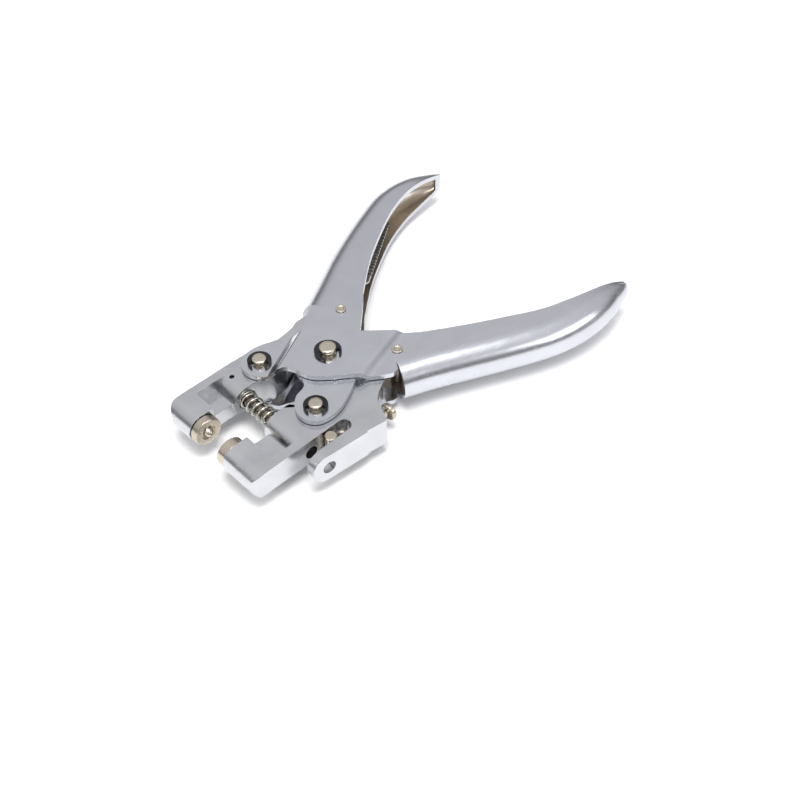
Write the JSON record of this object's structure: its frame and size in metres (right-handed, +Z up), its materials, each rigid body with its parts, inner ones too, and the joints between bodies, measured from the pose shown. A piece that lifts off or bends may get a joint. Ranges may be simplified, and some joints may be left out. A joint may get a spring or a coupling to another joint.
{
  "type": "grommet setter",
  "caption": "Parallel-jaw eyelet pliers: two channel handles cross at a pin and close a punch jaw and an anvil jaw with setting dies.",
  "frame": {"origin": "on the main pivot's axis at the flat lower face of its head, which the tool rests on", "axes": "+X from the handles to the jaws along the centreline, +Y to the anvil jaw, +Z up along the pivot"},
  "size_m": [0.1776, 0.1229, 0.0262],
  "materials": {
    "lever_chrome": "bright satin plating",
    "cast_satin": "satin plated casting",
    "nickel": "warm turned nickel",
    "rod_steel": "ground steel",
    "clip_black": "dark spring steel",
    "spring_steel": "bright wire",
    "strip_steel": "stamped sheet"
  },
  "bodies": {
    "outer_lever": {"outer_lever": "lever_chrome", "main_pivot_pin": "nickel", "main_pin_clip": "clip_black", "punch_jaw_pin": "nickel", "punch_pin_clip": "clip_black", "outer_lever_rivet": "nickel", "outer_rivet_spacer": "rod_steel"},
    "inner_lever": {"inner_lever": "lever_chrome", "toothed_strip": "strip_steel", "anvil_jaw_pin": "nickel", "anvil_pin_clip": "clip_black", "inner_lever_rivet": "nickel", "inner_rivet_spacer": "rod_steel"},
    "punch_jaw": {"punch_jaw": "cast_satin", "guide_punch_rod": "rod_steel", "rod_lock_pin": "rod_steel", "return_spring": "spring_steel", "spring_seat_washer": "nickel", "setting_die": "nickel"},
    "anvil_jaw": {"anvil_jaw": "cast_satin", "anvil_die": "nickel"},
    "edge_stop": {"edge_stop_post": "nickel", "edge_stop_rod": "nickel", "edge_stop_knob": "nickel"}
  },
  "joints": [
    {"name": "handle_squeeze", "type": "hinge", "parent": "outer_lever", "child": "inner_lever", "pos_m": [0, 0, 0.0122], "axis": [0, 0, -1], "range_deg": [0, 29], "stiffness_Nm_per_rad": 0.42, "springref_deg": -28.07, "deforming": ["return_spring"]},
    {"name": "punch_jaw_pivot", "type": "hinge", "parent": "outer_lever", "child": "punch_jaw", "pos_m": [0.02047, -0.01602, 0.0122], "axis": [0, 0, -1], "range_deg": [0, 14.5]},
    {"name": "anvil_jaw_pivot", "type": "hinge", "parent": "inner_lever", "child": "anvil_jaw", "pos_m": [0.02047, 0.01602, 0.0122], "axis": [0, 0, -1], "range_deg": [-14.5, 0]},
    {"name": "edge_stop_slide", "type": "slide", "parent": "anvil_jaw", "child": "edge_stop", "axis": [1, 0, 0], "range_m": [-0.003, 0]}
  ],
  "couplings": [
    {"joint": "punch_jaw_pivot", "follows": "handle_squeeze", "ratio": 0.5},
    {"joint": "anvil_jaw_pivot", "follows": "handle_squeeze", "ratio": -0.5}
  ]
}
